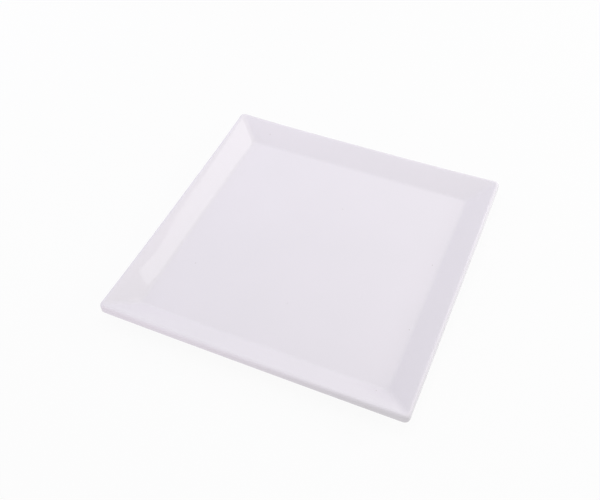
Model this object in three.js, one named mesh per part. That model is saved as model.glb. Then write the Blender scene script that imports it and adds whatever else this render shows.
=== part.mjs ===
// Square serving platter: a porcelain body on a foot ring, under two coats of glaze.
// Millimetres, +Z up, origin on the table under the middle of the platter.
import * as THREE from 'three';

// Plan sizes, measured on the finished surface
const platterSide = 300;
const wellSide = 246;
const baseSide = 243;
const footSide = 206;
const footWidth = 6;

// Heights
const footHeight = 3;
const floorThickness = 6;
const rimRise = 12.3;
const lipEdge = 8.3;
const cornerLift = 1.8;

// Roundings of the section
const creaseRadius = 8.5;
const lipTopRadius = 2.8;
const lipUnderRadius = 3.2;
const baseRadius = 18;
const footDraft = 0.9;
const footRootRadius = 1.6;
const footEdgeRadius = 0.7;

// Corner radii in plan
const lipCornerRadius = 5;
const wellCornerRadius = 4.5;
const footCornerRadius = 14;

// Glaze coat, and the height of the foot that is wiped bare of it
const glazeThickness = 0.4;
const wipedHeight = 1;

// Fineness of the facets
const cornerSteps = 5;
const sideSteps = 9;
const arcStep = THREE.MathUtils.degToRad(20);

// How sharply the lift gathers towards the corners, as a power of the distance from mid-side
const liftPower = 3;

const platterHalf = platterSide / 2;
const wellHalf = wellSide / 2;
const baseHalf = baseSide / 2;
const footHalf = footSide / 2;
const footInnerHalf = footHalf - footWidth;
const floorTop = footHeight + floorThickness;
const lipTop = floorTop + rimRise;
const wipedShare = wipedHeight / footHeight;

// Height of the sharp edge between the flat rim and the outer face, which the rounded lip takes off
function sharpLipTop() {
  const across = platterHalf - lipTopRadius - wellHalf;
  const up = rimRise - lipTopRadius;
  const slope = Math.atan2(up, across) + Math.asin(lipTopRadius / Math.hypot(across, up));
  return floorTop + (platterHalf - wellHalf) * Math.tan(slope);
}

// The finished section, from the middle of the well out over the lip and back under to the middle
// of the base. Each corner holds the coat on the line that leaves it: only the foot's tread is bare.
// The two corners where the glaze was wiped off the foot part the section into its runs.
function sectionCorners() {
  const corner = (x, z, radius = 0, coated = true) => ({ at: new THREE.Vector2(x, z), radius, coated });
  const wipedCorner = (x) => ({ ...corner(x, wipedHeight), wiped: true });
  return [
    corner(0, floorTop),
    corner(wellHalf, floorTop, creaseRadius),
    corner(platterHalf, sharpLipTop(), lipTopRadius),
    corner(platterHalf, lipTop - lipEdge, lipUnderRadius),
    corner(baseHalf, footHeight, baseRadius),
    corner(footHalf + footDraft, footHeight, footRootRadius),
    wipedCorner(footHalf + footDraft * wipedShare),
    corner(footHalf, 0, footEdgeRadius, false),
    corner(footInnerHalf, 0, footEdgeRadius),
    wipedCorner(footInnerHalf - footDraft * wipedShare),
    corner(footInnerHalf - footDraft, footHeight, footRootRadius),
    corner(0, footHeight),
  ];
}

// Unit normal of the line from one corner to the next, into the body
function inwardNormal(from, to) {
  const along = to.at.clone().sub(from.at).normalize();
  return new THREE.Vector2(along.y, -along.x);
}

// The same corners with every coated line moved into the body by the thickness of the coat
function setBack(corners, coat) {
  const last = corners.length - 1;
  return corners.map((here, i) => {
    if (i === 0 || i === last) {
      const inward = i === 0 ? -coat : coat;
      return { ...here, at: new THREE.Vector2(0, here.at.y + inward) };
    }
    const before = corners[i - 1];
    const n = inwardNormal(before, here);
    const m = inwardNormal(here, corners[i + 1]);
    const first = before.coated ? coat : 0;
    const second = here.coated ? coat : 0;
    const turn = n.cross(m);
    if (Math.abs(turn) < 1e-6) {
      return { ...here, at: here.at.clone().addScaledVector(n, first) };
    }
    const x = (first * m.y - second * n.y) / turn;
    const z = (second * n.x - first * m.x) / turn;
    const bare = !before.coated || !here.coated;
    const radius = here.radius && !bare ? here.radius + Math.sign(turn) * coat : here.radius;
    return { ...here, at: here.at.clone().add(new THREE.Vector2(x, z)), radius };
  });
}

// The line through the corners, turning each on an arc that its two neighbours leave room for
function roundedLine(corners) {
  const points = [corners[0].at.clone()];
  for (let i = 1; i < corners.length - 1; i += 1) {
    const here = corners[i];
    const back = corners[i - 1].at.clone().sub(here.at);
    const ahead = corners[i + 1].at.clone().sub(here.at);
    const turn = Math.PI - back.angleTo(ahead);
    const room = (line, neighbour) => line.length() * (neighbour.radius > 0 ? 0.5 : 0.95);
    const most = Math.min(room(back, corners[i - 1]), room(ahead, corners[i + 1]));
    const radius = Math.min(here.radius, most / Math.tan(turn / 2));
    const bisector = back.clone().normalize().add(ahead.clone().normalize()).normalize();
    const centre = here.at.clone().addScaledVector(bisector, radius / Math.cos(turn / 2));
    const inner = bisector.clone().negate().angle();
    const clockwise = back.cross(ahead) > 0;
    const half = (clockwise ? -turn : turn) / 2;
    const arc = new THREE.EllipseCurve(
      centre.x, centre.y, radius, radius, inner - half, inner + half, clockwise);
    points.push(...arc.getPoints(Math.max(1, Math.ceil(turn / arcStep))));
  }
  points.push(corners[corners.length - 1].at.clone());
  return points;
}

// The section in three runs: the face to the wiped line, the foot, and the recess inside it
function sectionRuns(coat) {
  const corners = setBack(sectionCorners(), coat);
  const outer = corners.findIndex((corner) => corner.wiped);
  const inner = corners.findLastIndex((corner) => corner.wiped);
  return {
    face: roundedLine(corners.slice(0, outer + 1)),
    foot: roundedLine(corners.slice(outer, inner + 1)),
    recess: roundedLine(corners.slice(inner)),
  };
}

// Corner radius of the plan outline whose straight sides lie half a side from the middle
function planRadius(half) {
  const blend = (from, to, start, end) => THREE.MathUtils.mapLinear(half, from, to, start, end);
  if (half >= wellHalf) {
    return blend(wellHalf, platterHalf, wellCornerRadius, lipCornerRadius);
  }
  return Math.min(half, blend(footHalf, wellHalf, footCornerRadius, wellCornerRadius));
}

// One rounded square of the loft, anticlockwise. The rim's corners sweep up, most at the top of the lip.
function planRing(half, height) {
  const radius = planRadius(half);
  const straight = half - radius;
  const lift = cornerLift * THREE.MathUtils.clamp((height - floorTop) / rimRise, 0, 1);
  const ring = [];
  for (let quarter = 0; quarter < 4; quarter += 1) {
    const turned = (x, y, z) => new THREE.Vector3(x, y, z).applyAxisAngle(
      new THREE.Vector3(0, 0, 1), quarter * Math.PI / 2);
    for (let i = 0; i <= cornerSteps; i += 1) {
      const angle = i / cornerSteps * Math.PI / 2;
      const x = straight + radius * Math.cos(angle);
      const y = straight + radius * Math.sin(angle);
      ring.push(turned(x, y, height + lift));
    }
    for (let i = 1; i < sideSteps; i += 1) {
      const along = 1 - 2 * i / sideSteps;
      ring.push(turned(straight * along, half, height + lift * Math.abs(along) ** liftPower));
    }
  }
  return ring;
}

// Closed loft of a section that starts and ends on the axis, the outside on its left hand.
// Each facet's diagonal leaves the wider ring, so two lofts along one line have the same facets.
function squareLoft(section) {
  const rings = section.map(({ x, y }) => (x < 1e-9 ? [new THREE.Vector3(0, 0, y)] : planRing(x, y)));
  const starts = [];
  const vertices = [];
  for (const ring of rings) {
    starts.push(vertices.length);
    vertices.push(...ring);
  }
  const wider = (a, b) => a.x > b.x || (a.x === b.x && a.y > b.y);
  const triangles = [];
  for (let i = 0; i < rings.length - 1; i += 1) {
    const count = Math.max(rings[i].length, rings[i + 1].length);
    const first = (j) => starts[i] + j % count % rings[i].length;
    const second = (j) => starts[i + 1] + j % count % rings[i + 1].length;
    const fromFirst = wider(section[i], section[i + 1]);
    for (let j = 0; j < count; j += 1) {
      if (rings[i + 1].length > 1) {
        triangles.push(first(fromFirst ? j : j + 1), second(j), second(j + 1));
      }
      if (rings[i].length > 1) {
        triangles.push(first(j), second(fromFirst ? j + 1 : j), first(j + 1));
      }
    }
  }
  const geometry = new THREE.BufferGeometry().setFromPoints(vertices);
  geometry.setIndex(triangles);
  geometry.computeVertexNormals();
  return geometry;
}

const biscuit = new THREE.MeshStandardMaterial({ color: 0xe9e4da, roughness: 0.85, metalness: 0 });
const glaze = new THREE.MeshStandardMaterial({ color: 0xe8e4ec, roughness: 0.1, metalness: 0 });

const finished = sectionRuns(0);
const fired = sectionRuns(glazeThickness);

// Fired body: the whole section, set back under the glaze and bare on the foot
function porcelainBody() {
  const section = [...fired.face, ...fired.foot.slice(1), ...fired.recess.slice(1)];
  return new THREE.Mesh(squareLoft(section), biscuit);
}

// Coat over the well, rims, lip and back, out along the finished face and home along the body
function faceGlaze() {
  const section = [...finished.face, ...[...fired.face].reverse()];
  return new THREE.Mesh(squareLoft(section), glaze);
}

// Coat in the recess inside the foot ring, out along the body and home along the finished base
function baseGlaze() {
  const section = [...[...fired.recess].reverse(), ...finished.recess];
  return new THREE.Mesh(squareLoft(section), glaze);
}

const platter = new THREE.Group();
const pieces = { porcelain_body: porcelainBody(), face_glaze: faceGlaze(), base_glaze: baseGlaze() };
for (const [name, piece] of Object.entries(pieces)) {
  piece.name = name;
  platter.add(piece);
}

export default platter;
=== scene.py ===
import math

import bpy
from mathutils import Matrix, Vector


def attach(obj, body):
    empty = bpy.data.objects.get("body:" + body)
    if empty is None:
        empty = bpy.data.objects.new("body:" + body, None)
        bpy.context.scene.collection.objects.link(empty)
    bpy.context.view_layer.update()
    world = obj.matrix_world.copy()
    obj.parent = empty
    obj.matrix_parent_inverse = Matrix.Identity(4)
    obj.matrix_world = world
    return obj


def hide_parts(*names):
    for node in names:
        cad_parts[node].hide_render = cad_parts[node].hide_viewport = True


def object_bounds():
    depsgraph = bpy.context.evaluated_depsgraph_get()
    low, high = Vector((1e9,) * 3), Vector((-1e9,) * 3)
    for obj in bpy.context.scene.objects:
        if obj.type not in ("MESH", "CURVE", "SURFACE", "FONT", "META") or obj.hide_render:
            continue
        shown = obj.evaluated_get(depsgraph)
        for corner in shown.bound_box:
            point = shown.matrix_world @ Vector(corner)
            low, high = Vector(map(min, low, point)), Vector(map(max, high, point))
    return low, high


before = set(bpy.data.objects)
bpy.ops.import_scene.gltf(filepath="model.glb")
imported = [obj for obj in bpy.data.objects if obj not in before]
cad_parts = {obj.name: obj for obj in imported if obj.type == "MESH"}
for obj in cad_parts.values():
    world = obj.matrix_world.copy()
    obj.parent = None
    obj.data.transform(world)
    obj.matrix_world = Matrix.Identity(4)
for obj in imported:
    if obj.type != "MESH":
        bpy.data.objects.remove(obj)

mm = 0.001
cadLow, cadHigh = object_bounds()
print("frame loaded:", sorted(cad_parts))


# Camera, set to the photograph's view in a 600 x 500 image
view = {
    "imageWidth": 600,
    "focalLength": 783.1,              # in pixels of that image
    "sensorWidth": 36.0,
    "azimuth": 24.79,
    "elevation": 48.94,
    "roll": -1.68,
    "distance": 777.8 * mm,
    "target": (-10.42 * mm, -5.32 * mm, 9 * mm),
    "nearest": 10 * mm,
}


def aimed(place, direction):           # stands at a place and looks along a direction
    return Matrix.Translation(place) @ direction.to_track_quat("-Z", "Y").to_matrix().to_4x4()


def addCamera():
    bpy.ops.object.camera_add()
    camera = bpy.context.object
    camera.name = "photoCamera"
    camera.data.sensor_width = view["sensorWidth"]
    camera.data.lens = view["focalLength"] * view["sensorWidth"] / view["imageWidth"]
    camera.data.clip_start = view["nearest"]
    turn, rise = math.radians(view["azimuth"]), math.radians(view["elevation"])
    back = Vector((math.sin(turn) * math.cos(rise), -math.cos(turn) * math.cos(rise), math.sin(rise)))
    place = Vector(view["target"]) + back * view["distance"]
    camera.matrix_world = aimed(place, -back) @ Matrix.Rotation(math.radians(view["roll"]), 4, "Z")
    bpy.context.scene.camera = camera


addCamera()
print("camera placed")


# Materials
def linear(hexColour):                 # sRGB hex to the linear values that shaders use
    channels = [int(hexColour[i:i + 2], 16) / 255 for i in (1, 3, 5)]
    return [c / 12.92 if c <= 0.04045 else ((c + 0.055) / 1.055) ** 2.4 for c in channels] + [1.0]


def addNode(tree, kind, inputs, **settings):    # inputs: socket name or number to a value or an output
    node = tree.nodes.new(kind)
    for name, value in settings.items():
        setattr(node, name, value)
    for socket, value in inputs.items():
        if isinstance(value, bpy.types.NodeSocket):
            tree.links.new(value, node.inputs[socket])
        else:
            node.inputs[socket].default_value = value
    return node


def newMaterial(name):
    material = bpy.data.materials.new(name)
    material.use_nodes = True
    tree = material.node_tree
    tree.nodes.clear()
    return material, tree


porcelainGlaze = {
    "colour": "#E8E3E9",
    "thinColour": "#E4E0E5",           # where the coat is a little thinner
    "driftSize": 70 * mm,              # patches of thicker and thinner coat
    "driftDetail": 2.0,
    "speckColour": "#A39A90",
    "speckSpacing": 55 * mm,
    "speckRadius": 0.5 * mm,
    "speckCore": 0.3,                  # share of the radius that is fully dark
    "speckShare": 0.22,                # share of the places that have a speck
    "roughness": (0.015, 0.03),
    "smearSize": 25 * mm,              # patches of more and less gloss
    "smearDetail": 3.0,
    "smearRange": (0.3, 0.7),
    "peelSize": 2.2 * mm,              # the faint orange peel of a fired glaze
    "peelDetail": 1.0,
    "peelDepth": 0.0006 * mm,
    "ior": 1.6,
}


# Clear feldspar glaze, fired on white porcelain: a wet gloss, a faint drift of colour and a few specks
def makePorcelainGlaze():
    spec = porcelainGlaze
    material, tree = newMaterial("glazedPorcelain")
    place = addNode(tree, "ShaderNodeTexCoord", {}).outputs["Object"]
    drift = addNode(tree, "ShaderNodeTexNoise", {"Vector": place, "Scale": 1 / spec["driftSize"],
                                                 "Detail": spec["driftDetail"]})
    coat = addNode(tree, "ShaderNodeMix", {"Factor": drift.outputs["Fac"], "A": linear(spec["thinColour"]),
                                           "B": linear(spec["colour"])}, data_type="RGBA")
    cells = addNode(tree, "ShaderNodeTexVoronoi", {"Vector": place, "Scale": 1 / spec["speckSpacing"]},
                    voronoi_dimensions="2D")    # straight down, so that each speck meets the surface
    speckEdge = spec["speckRadius"] / spec["speckSpacing"]
    near = addNode(tree, "ShaderNodeMapRange", {"Value": cells.outputs["Distance"], "From Min": speckEdge,
                                                "From Max": spec["speckCore"] * speckEdge})
    chosen = addNode(tree, "ShaderNodeSeparateColor", {"Color": cells.outputs["Color"]})
    some = addNode(tree, "ShaderNodeMath", {0: chosen.outputs["Red"], 1: spec["speckShare"]},
                   operation="LESS_THAN")
    speck = addNode(tree, "ShaderNodeMath", {0: near.outputs["Result"], 1: some.outputs["Value"]},
                    operation="MULTIPLY")
    colour = addNode(tree, "ShaderNodeMix", {"Factor": speck.outputs["Value"], "A": coat.outputs["Result"],
                                             "B": linear(spec["speckColour"])}, data_type="RGBA")
    smear = addNode(tree, "ShaderNodeTexNoise", {"Vector": place, "Scale": 1 / spec["smearSize"],
                                                 "Detail": spec["smearDetail"]})
    least, most = spec["smearRange"]
    smooth, dull = spec["roughness"]
    gloss = addNode(tree, "ShaderNodeMapRange", {"Value": smear.outputs["Fac"], "From Min": least,
                                                 "From Max": most, "To Min": smooth, "To Max": dull})
    peel = addNode(tree, "ShaderNodeTexNoise", {"Vector": place, "Scale": 1 / spec["peelSize"],
                                                "Detail": spec["peelDetail"]})
    bump = addNode(tree, "ShaderNodeBump", {"Height": peel.outputs["Fac"], "Distance": spec["peelDepth"]})
    shader = addNode(tree, "ShaderNodeBsdfPrincipled", {"Base Color": colour.outputs["Result"],
                                                        "Roughness": gloss.outputs["Result"],
                                                        "IOR": spec["ior"],
                                                        "Normal": bump.outputs["Normal"]})
    addNode(tree, "ShaderNodeOutputMaterial", {"Surface": shader.outputs["BSDF"]})
    return material


biscuit = {
    "colour": "#EAE5DC",
    "worn": "#CFC8BD",                 # grey rub marks from tables
    "rubSize": 9 * mm,
    "rubDetail": 5.0,
    "rubRange": (0.5, 0.8),
    "grainSize": 0.5 * mm,
    "grainDetail": 3.0,
    "grainDepth": 0.02 * mm,
    "roughness": 0.8,
    "ior": 1.5,
}


# Unglazed porcelain, ground flat: dry and chalky, a little grey where it rubs
def makeBiscuit():
    spec = biscuit
    material, tree = newMaterial("biscuitPorcelain")
    place = addNode(tree, "ShaderNodeTexCoord", {}).outputs["Object"]
    rub = addNode(tree, "ShaderNodeTexNoise", {"Vector": place, "Scale": 1 / spec["rubSize"],
                                               "Detail": spec["rubDetail"]})
    least, most = spec["rubRange"]
    amount = addNode(tree, "ShaderNodeMapRange", {"Value": rub.outputs["Fac"], "From Min": least,
                                                  "From Max": most})
    colour = addNode(tree, "ShaderNodeMix", {"Factor": amount.outputs["Result"], "A": linear(spec["colour"]),
                                             "B": linear(spec["worn"])}, data_type="RGBA")
    grain = addNode(tree, "ShaderNodeTexNoise", {"Vector": place, "Scale": 1 / spec["grainSize"],
                                                 "Detail": spec["grainDetail"]})
    bump = addNode(tree, "ShaderNodeBump", {"Height": grain.outputs["Fac"], "Distance": spec["grainDepth"]})
    shader = addNode(tree, "ShaderNodeBsdfPrincipled", {"Base Color": colour.outputs["Result"],
                                                        "Roughness": spec["roughness"],
                                                        "IOR": spec["ior"],
                                                        "Normal": bump.outputs["Normal"]})
    addNode(tree, "ShaderNodeOutputMaterial", {"Surface": shader.outputs["BSDF"]})
    return material


glazeMaterial = makePorcelainGlaze()
biscuitMaterial = makeBiscuit()
print("materials made")


# Platter
platter = {
    "half": cadHigh.x,
    "wellHalf": 123 * mm,
    "baseHalf": 121.5 * mm,
    "footHalf": 103 * mm,
    "footWidth": 6 * mm,
    "footDraft": 0.9 * mm,
    "footHeight": 3 * mm,
    "wipedHeight": 1 * mm,             # the foot is wiped bare of glaze up to here
    "floorTop": 9 * mm,
    "rimRise": 12.3 * mm,
    "lipEdge": 8.3 * mm,
    "cornerLift": 1.8 * mm,
    "liftPower": 3,
    "creaseRadius": 8.5 * mm,          # radii of the section
    "lipTopRadius": 2.8 * mm,
    "lipUnderRadius": 3.2 * mm,
    "baseRadius": 18 * mm,
    "footRootRadius": 1.6 * mm,
    "footEdgeRadius": 0.7 * mm,
    "lipCorner": 5 * mm,               # radii of the corners in plan
    "wellCorner": 4.5 * mm,
    "footCorner": 14 * mm,
    "glaze": 0.4 * mm,
    "treadTop": 1.35 * mm,             # once set back under the glaze, the foot below this comes down again
    "floorMargin": 10 * mm,            # from a bend to the loop that closes the well or the recess
    "rimShares": (0.14, 0.28, 0.42, 0.56, 0.7),     # extra loops between bends, for waves and lift
    "backShares": (0.2, 0.35, 0.5, 0.65),
    "baseShares": (0.5, 0.75),
    "cornerSteps": 10,
    "sideCuts": 59,
    "roundSteps": 8,
    "stackStep": 50 * mm,
}


def station(half, height, radius=0.0):     # one level loop of the loft; radius rounds the section there
    return {"half": half, "height": height, "radius": radius}


def between(a, b, shares):             # loops part of the way from one to the next
    return [station(*[a[k] + (b[k] - a[k]) * share for k in ("half", "height")]) for share in shares]


def rimMeetsFace():                    # height of the sharp edge that the lip's rounding takes off
    p = platter
    across = p["half"] - p["lipTopRadius"] - p["wellHalf"]
    up = p["rimRise"] - p["lipTopRadius"]
    slope = math.atan2(up, across) + math.asin(p["lipTopRadius"] / math.hypot(across, up))
    return p["floorTop"] + (p["half"] - p["wellHalf"]) * math.tan(slope)


def cornerRadius(half):                # the corners open out from the lip down to the foot
    p = platter
    if half > p["wellHalf"]:
        share = (half - p["wellHalf"]) / (p["half"] - p["wellHalf"])
        return p["wellCorner"] + (p["lipCorner"] - p["wellCorner"]) * share
    share = (p["wellHalf"] - half) / (p["wellHalf"] - p["footHalf"])
    return p["wellCorner"] + (p["footCorner"] - p["wellCorner"]) * share


def makeStations():                    # the face to the wiped line, the tread, the recess
    p = platter
    wipedShare = p["wipedHeight"] / p["footHeight"]
    innerHalf = p["footHalf"] - p["footWidth"]
    wellLoop = station(p["wellHalf"] - p["floorMargin"], p["floorTop"])
    crease = station(p["wellHalf"], p["floorTop"], p["creaseRadius"])
    lipOver = station(p["half"], rimMeetsFace(), p["lipTopRadius"])
    lipUnder = station(p["half"], p["floorTop"] + p["rimRise"] - p["lipEdge"], p["lipUnderRadius"])
    baseTurn = station(p["baseHalf"], p["footHeight"], p["baseRadius"])
    footRoot = station(p["footHalf"] + p["footDraft"], p["footHeight"], p["footRootRadius"])
    wipedLine = station(p["footHalf"] + p["footDraft"] * wipedShare, p["wipedHeight"])
    treadOuter = station(p["footHalf"], 0.0, p["footEdgeRadius"])
    treadInner = station(innerHalf, 0.0, p["footEdgeRadius"])
    innerWiped = station(innerHalf - p["footDraft"] * wipedShare, p["wipedHeight"])
    innerRoot = station(innerHalf - p["footDraft"], p["footHeight"], p["footRootRadius"])
    recessLoop = station(innerHalf - p["floorMargin"], p["footHeight"])
    face = [wellLoop, crease, *between(crease, lipOver, p["rimShares"]), lipOver, lipUnder,
            *between(lipUnder, baseTurn, p["backShares"]), baseTurn,
            *between(baseTurn, footRoot, p["baseShares"]), footRoot, wipedLine]
    return face, [treadOuter, treadInner], [innerWiped, innerRoot, recessLoop]


faceStations, treadStations, recessStations = makeStations()


def roundings(stations):               # how far each bevel reaches along the section, for its radius
    places = [Vector((s["half"], s["height"])) for s in stations]
    reach = [0.0] * len(stations)
    for i in range(1, len(stations) - 1):
        turn = (places[i] - places[i - 1]).angle(places[i + 1] - places[i])
        reach[i] = stations[i]["radius"] * math.tan(turn / 2)
    return reach


def selectOnly(*objects):              # the first becomes the active one
    bpy.ops.object.select_all(action="DESELECT")
    for chosen in objects:
        chosen.select_set(True)
    bpy.context.view_layer.objects.active = objects[0]


def addModifier(piece, kind, **settings):
    selectOnly(piece)
    modifier = piece.modifiers.new(kind.lower(), kind)
    for name, value in settings.items():
        setattr(modifier, name, value)
    bpy.ops.object.modifier_apply(modifier=modifier.name)


# A wire loop: a plane with rounded corners and cut sides, its face removed
def squareLoop(name, half, height):
    bpy.ops.object.select_all(action="DESELECT")
    bpy.ops.mesh.primitive_plane_add(size=2 * half)
    loop = bpy.context.object
    bpy.ops.object.mode_set(mode="EDIT")
    bpy.ops.mesh.bevel(offset=cornerRadius(half), segments=platter["cornerSteps"], affect="VERTICES")
    bpy.ops.transform.translate(value=(0, 0, height))
    bpy.ops.mesh.delete(type="ONLY_FACE")
    bpy.ops.mesh.select_all(action="DESELECT")
    bpy.ops.object.mode_set(mode="OBJECT")
    for edge in loop.data.edges:
        a, b = (loop.data.vertices[i].co for i in edge.vertices)
        edge.select = (a - b).length > half     # a straight side, longer than any step round a corner
    bpy.ops.object.mode_set(mode="EDIT")
    bpy.ops.mesh.select_mode(type="EDGE")
    bpy.ops.mesh.subdivide(number_cuts=platter["sideCuts"])
    bpy.ops.mesh.select_mode(type="VERT")
    bpy.ops.object.mode_set(mode="OBJECT")
    group = loop.vertex_groups.new(name=name)
    group.add(range(len(loop.data.vertices)), 1.0, "REPLACE")
    return loop


def selectLoops(piece, *numbers):
    bpy.ops.mesh.select_all(action="DESELECT")
    for number in numbers:
        piece.vertex_groups.active_index = piece.vertex_groups[f"loop{number}"].index
        bpy.ops.object.vertex_group_select()


# Loops stacked apart, so that level ones bridge straight, then set to their heights and rounded
def loftStations(name, stations, fillFirst, fillLast):
    stack = [-i * platter["stackStep"] for i in range(len(stations))]
    loops = [squareLoop(f"loop{i}", place["half"], stack[i]) for i, place in enumerate(stations)]
    selectOnly(*loops)
    bpy.ops.object.join()
    piece = bpy.context.object
    piece.name = piece.data.name = name
    bpy.ops.object.mode_set(mode="EDIT")
    for i in range(len(stations) - 1):
        selectLoops(piece, i, i + 1)
        bpy.ops.mesh.bridge_edge_loops()
    for i, place in enumerate(stations):
        selectLoops(piece, i)
        bpy.ops.transform.translate(value=(0, 0, place["height"] - stack[i]))
    reach = roundings(stations)
    widest = max(reach)
    for i in range(len(stations)):
        if reach[i]:
            selectLoops(piece, i)
            bpy.ops.transform.edge_bevelweight(value=reach[i] / widest)
    ends = [0] * fillFirst + [len(stations) - 1] * fillLast
    for end in ends:
        selectLoops(piece, end)
        bpy.ops.mesh.fill_grid(span=platter["cornerSteps"] + platter["sideCuts"] + 1)
    bpy.ops.mesh.select_all(action="SELECT")
    bpy.ops.mesh.normals_make_consistent(inside=False)
    bpy.ops.object.mode_set(mode="OBJECT")
    piece.vertex_groups.clear()
    addModifier(piece, "BEVEL", limit_method="WEIGHT", width=widest, segments=platter["roundSteps"])
    return piece


def liftCorners(piece):                # sweeps the rim's corners up, most at the lip
    group = piece.vertex_groups.new(name="lift")
    for vertex in piece.data.vertices:
        across, along = sorted((abs(vertex.co.x), abs(vertex.co.y)), reverse=True)
        rise = min(1.0, (vertex.co.z - platter["floorTop"]) / platter["rimRise"])
        if rise > 0:
            reach = min(1.0, along / (across - platter["lipCorner"]))
            group.add([vertex.index], rise * reach ** platter["liftPower"], "REPLACE")
    addModifier(piece, "DISPLACE", direction="Z", strength=platter["cornerLift"], mid_level=0.0,
                vertex_group="lift")
    piece.vertex_groups.clear()


waviness = {"size": 38 * mm, "strength": 0.045 * mm}


def thickenGlaze(piece):               # slight waves, since it ran before it set, and its thickness
    clouds = bpy.data.textures.new("glazeWaves", "CLOUDS")
    clouds.noise_scale = waviness["size"]
    addModifier(piece, "DISPLACE", texture=clouds, strength=waviness["strength"], mid_level=0.5)
    addModifier(piece, "SOLIDIFY", thickness=platter["glaze"], offset=-1.0, use_even_offset=True)


def finishPiece(piece, material, node):
    addModifier(piece, "WEIGHTED_NORMAL", keep_sharp=True)
    bpy.ops.object.shade_smooth()
    piece.data.materials.clear()
    piece.data.materials.append(material)
    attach(piece, "root")
    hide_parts(node)
    print(piece.name, "made,", len(piece.data.polygons), "faces")
    return piece


def makeFaceGlaze():
    piece = loftStations("faceGlaze", faceStations, True, False)
    liftCorners(piece)
    thickenGlaze(piece)
    return finishPiece(piece, glazeMaterial, "face_glaze")


def makeBaseGlaze():
    piece = loftStations("baseGlaze", recessStations, False, True)
    bpy.ops.object.mode_set(mode="EDIT")
    bpy.ops.mesh.select_all(action="SELECT")
    bpy.ops.mesh.normals_make_consistent(inside=True)      # an open cap, seen from below
    bpy.ops.object.mode_set(mode="OBJECT")
    thickenGlaze(piece)
    return finishPiece(piece, glazeMaterial, "base_glaze")


def makePorcelainBody():
    piece = loftStations("porcelainBody", faceStations + treadStations + recessStations, True, True)
    liftCorners(piece)
    bpy.ops.object.mode_set(mode="EDIT")
    bpy.ops.mesh.select_all(action="SELECT")
    bpy.ops.transform.shrink_fatten(value=-platter["glaze"], use_even_offset=True)
    bpy.ops.mesh.select_all(action="DESELECT")
    bpy.ops.object.mode_set(mode="OBJECT")
    for vertex in piece.data.vertices:
        vertex.select = vertex.co.z < platter["treadTop"]
    bpy.ops.object.mode_set(mode="EDIT")
    bpy.ops.transform.translate(value=(0, 0, -platter["glaze"]))
    bpy.ops.object.mode_set(mode="OBJECT")
    return finishPiece(piece, biscuitMaterial, "porcelain_body")


pieces = [makeFaceGlaze(), makeBaseGlaze(), makePorcelainBody()]


# Studio: pale floor, soft boxes and a surround that gives a little more light from the front
floorPaper = {
    "size": 12.0,
    "colour": "#DCDCDC",
    "shadowShare": 0.07,               # how much of its own shading the camera sees, the rest is white
}
surround = {
    "even": 0.43,
    "front": (0, -1, 0),
    "frontGlow": 0.49,
}
fill = {
    "spread": 180,
    "colour": "#FFFFFF",
    "reflected": False,                # it lights the glaze but isn't seen in it
    "flagged": False,                  # kept off the floor
}
softBoxes = {                          # metres, degrees and watts
    "backPanel": {**fill, "at": (0.499, 1.012, 1.042), "aim": (0.967, 1.117, 0.164), "size": (1.0, 0.8),
                  "power": 2.48, "reflected": True},
    "topFill": {**fill, "at": (0.0, 0.2, 1.6), "aim": (0.0, 0.2, 0.0), "size": (1.0, 1.0), "power": 7.15},
    "rightFill": {**fill, "at": (1.1, 0.75, 0.6), "aim": (0.0, 0.0, 0.0), "size": (0.6, 0.6), "power": 6.85},
    "leftFill": {**fill, "at": (-0.84, 0.22, 0.5), "aim": (0.0, 0.0, 0.0), "size": (0.5, 0.5), "power": 2.05,
                 "colour": "#DFDEFF"},
    "lipFill": {**fill, "at": (0.0, -0.5, 0.04), "aim": (-0.141, -0.15, 0.02), "size": (0.12, 0.03),
                "spread": 84, "power": 0.05, "colour": "#FCE3FF", "flagged": True},
}


def seenShare(tree, share):            # the share where a camera, mirror or lens looks, else none
    path = addNode(tree, "ShaderNodeLightPath", {}).outputs
    mirrors = addNode(tree, "ShaderNodeMath", {0: path["Is Camera Ray"], 1: path["Is Glossy Ray"]},
                      operation="MAXIMUM")
    eyes = addNode(tree, "ShaderNodeMath", {0: mirrors.outputs["Value"], 1: path["Is Transmission Ray"]},
                   operation="MAXIMUM")
    seen = addNode(tree, "ShaderNodeMath", {0: eyes.outputs["Value"], 1: share}, operation="MULTIPLY")
    return seen.outputs["Value"]


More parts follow.
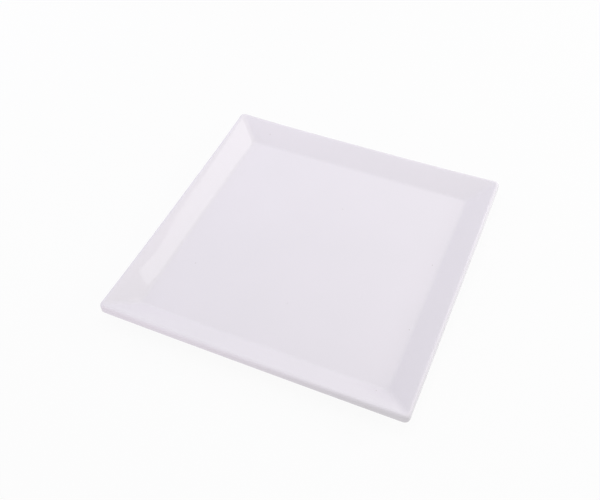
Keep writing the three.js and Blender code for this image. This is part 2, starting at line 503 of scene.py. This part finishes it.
def makeFloor():
    bpy.ops.object.select_all(action="DESELECT")
    bpy.ops.mesh.primitive_plane_add(size=floorPaper["size"])
    floor = bpy.context.object
    floor.name = "studioFloor"
    material, tree = newMaterial("whitePaper")
    paper = addNode(tree, "ShaderNodeBsdfDiffuse", {"Color": linear(floorPaper["colour"])})
    white = addNode(tree, "ShaderNodeEmission", {"Strength": 1.0})
    mixed = addNode(tree, "ShaderNodeMixShader", {0: seenShare(tree, 1 - floorPaper["shadowShare"]),
                                                  1: paper.outputs["BSDF"], 2: white.outputs["Emission"]})
    addNode(tree, "ShaderNodeOutputMaterial", {"Surface": mixed.outputs["Shader"]})
    floor.data.materials.append(material)


def makeSurround():                    # white where it is seen
    world = bpy.data.worlds.new("studioSurround")
    bpy.context.scene.world = world
    world.use_nodes = True
    world.cycles.sampling_method = "NONE"       # even light has less grain this way
    tree = world.node_tree
    tree.nodes.clear()
    toward = addNode(tree, "ShaderNodeTexCoord", {}).outputs["Generated"]
    facing = addNode(tree, "ShaderNodeVectorMath", {0: toward, 1: surround["front"]},
                     operation="DOT_PRODUCT")
    front = addNode(tree, "ShaderNodeMath", {0: facing.outputs["Value"], 1: 0.0}, operation="MAXIMUM")
    given = addNode(tree, "ShaderNodeMath", {0: front.outputs["Value"], 1: surround["frontGlow"],
                                             2: surround["even"]}, operation="MULTIPLY_ADD")
    strength = addNode(tree, "ShaderNodeMix", {"Factor": seenShare(tree, 1.0), "A": given.outputs["Value"],
                                               "B": 1.0})
    light = addNode(tree, "ShaderNodeBackground", {"Color": linear("#FFFFFF"),
                                                   "Strength": strength.outputs["Result"]})
    addNode(tree, "ShaderNodeOutputWorld", {"Surface": light.outputs["Background"]})


def makeSoftBoxes():
    platterOnly = bpy.data.collections.new("platterOnly")      # all that a flagged box lights
    for piece in pieces:
        platterOnly.objects.link(piece)
    for name, box in softBoxes.items():
        bpy.ops.object.light_add(type="AREA")
        lamp = bpy.context.object
        lamp.name = name
        lamp.data.shape = "RECTANGLE"
        lamp.data.size, lamp.data.size_y = box["size"]
        lamp.data.energy = box["power"]
        lamp.data.color = linear(box["colour"])[:3]
        lamp.data.spread = math.radians(box["spread"])
        lamp.visible_glossy = box["reflected"]
        if box["flagged"]:
            lamp.light_linking.receiver_collection = platterOnly
        lamp.matrix_world = aimed(box["at"], Vector(box["aim"]) - Vector(box["at"]))


makeFloor()
makeSurround()
makeSoftBoxes()
bpy.context.scene.view_settings.view_transform = "Standard"
print("studio lit")
